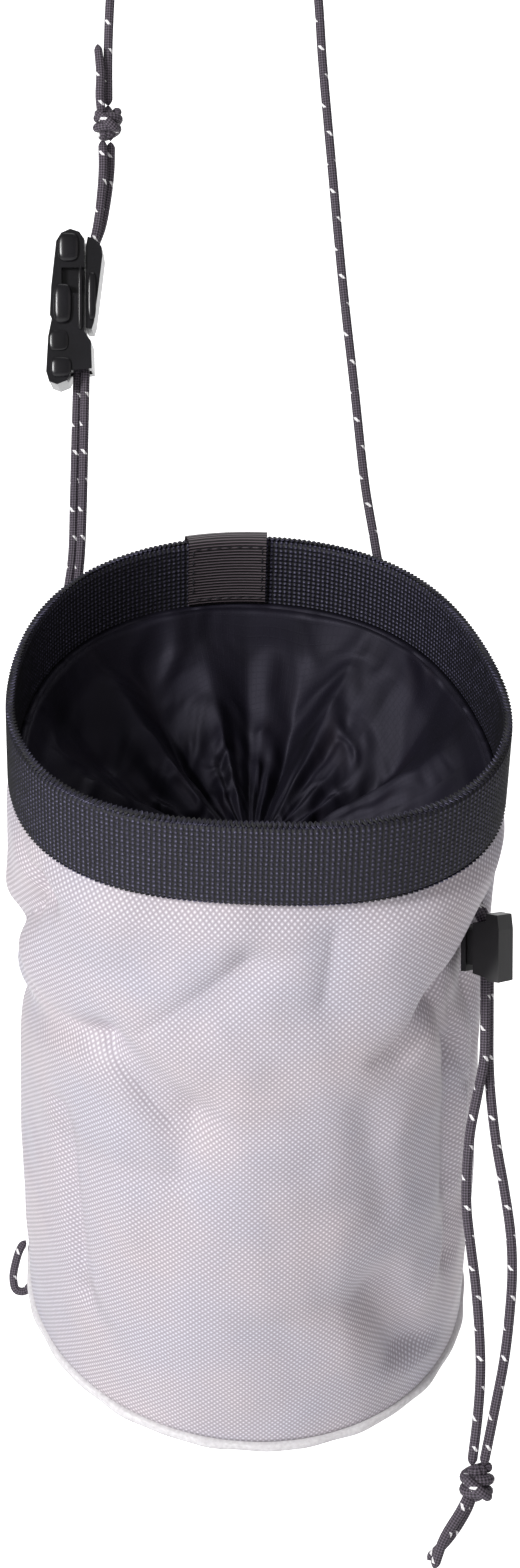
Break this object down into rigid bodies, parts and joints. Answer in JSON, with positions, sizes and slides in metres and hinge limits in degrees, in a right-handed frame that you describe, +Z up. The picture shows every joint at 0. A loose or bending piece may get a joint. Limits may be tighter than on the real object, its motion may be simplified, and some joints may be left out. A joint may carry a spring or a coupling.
{
  "type": "climbing chalk bag",
  "caption": "Small round cloth bag with a stiff webbing rim and a drawn inner collar, hung forward from a thin cord belt with a side buckle and a spring cord lock.",
  "frame": {"origin": "top of the belt cord's loop, where the bag hangs", "axes": "+Z up, +X to the viewer's right, -Y towards the viewer, whom the tilted mouth faces"},
  "size_m": [0.1296, 0.2001, 0.4278],
  "materials": {
    "dobby_cloth": "soft sheen woven cloth with a fine lattice",
    "seam_tape": "pale folded cloth edge",
    "rim_webbing": "thick ribbed webbing",
    "ripstop_lining": "thin smooth ripstop",
    "grosgrain_ribbon": "ribbed ribbon",
    "cord_braid": "braided cord with pale flecks",
    "buckle_plastic": "polished moulding",
    "lock_plastic": "satin moulding"
  },
  "bodies": {
    "bag": {"body_shell": "dobby_cloth", "base_panel": "dobby_cloth", "base_seam": "seam_tape", "rim_band": "rim_webbing", "lining_collar": "ripstop_lining", "ribbon_tab": "grosgrain_ribbon", "belt_tunnel": "rim_webbing", "buckle_hook": "buckle_plastic", "buckle_frame": "buckle_plastic", "lock_body": "lock_plastic", "belt_knot": "cord_braid", "belt_back_knot": "cord_braid", "draw_knot": "cord_braid", "belt_cord": "cord_braid", "belt_upper_front": "cord_braid", "belt_upper_rear": "cord_braid", "belt_lower_front": "cord_braid", "belt_lower_rear": "cord_braid", "draw_cord_left": "cord_braid", "draw_cord_right": "cord_braid", "brush_loop": "cord_braid"},
    "plunger": {"lock_plunger": "lock_plastic"}
  },
  "joints": [
    {"name": "plunger_press", "type": "slide", "parent": "bag", "child": "plunger", "axis": [0.9205, -0.3907, 0], "range_m": [0, 0.0018], "stiffness_N_per_m": 600, "springref_m": -0.003}
  ]
}
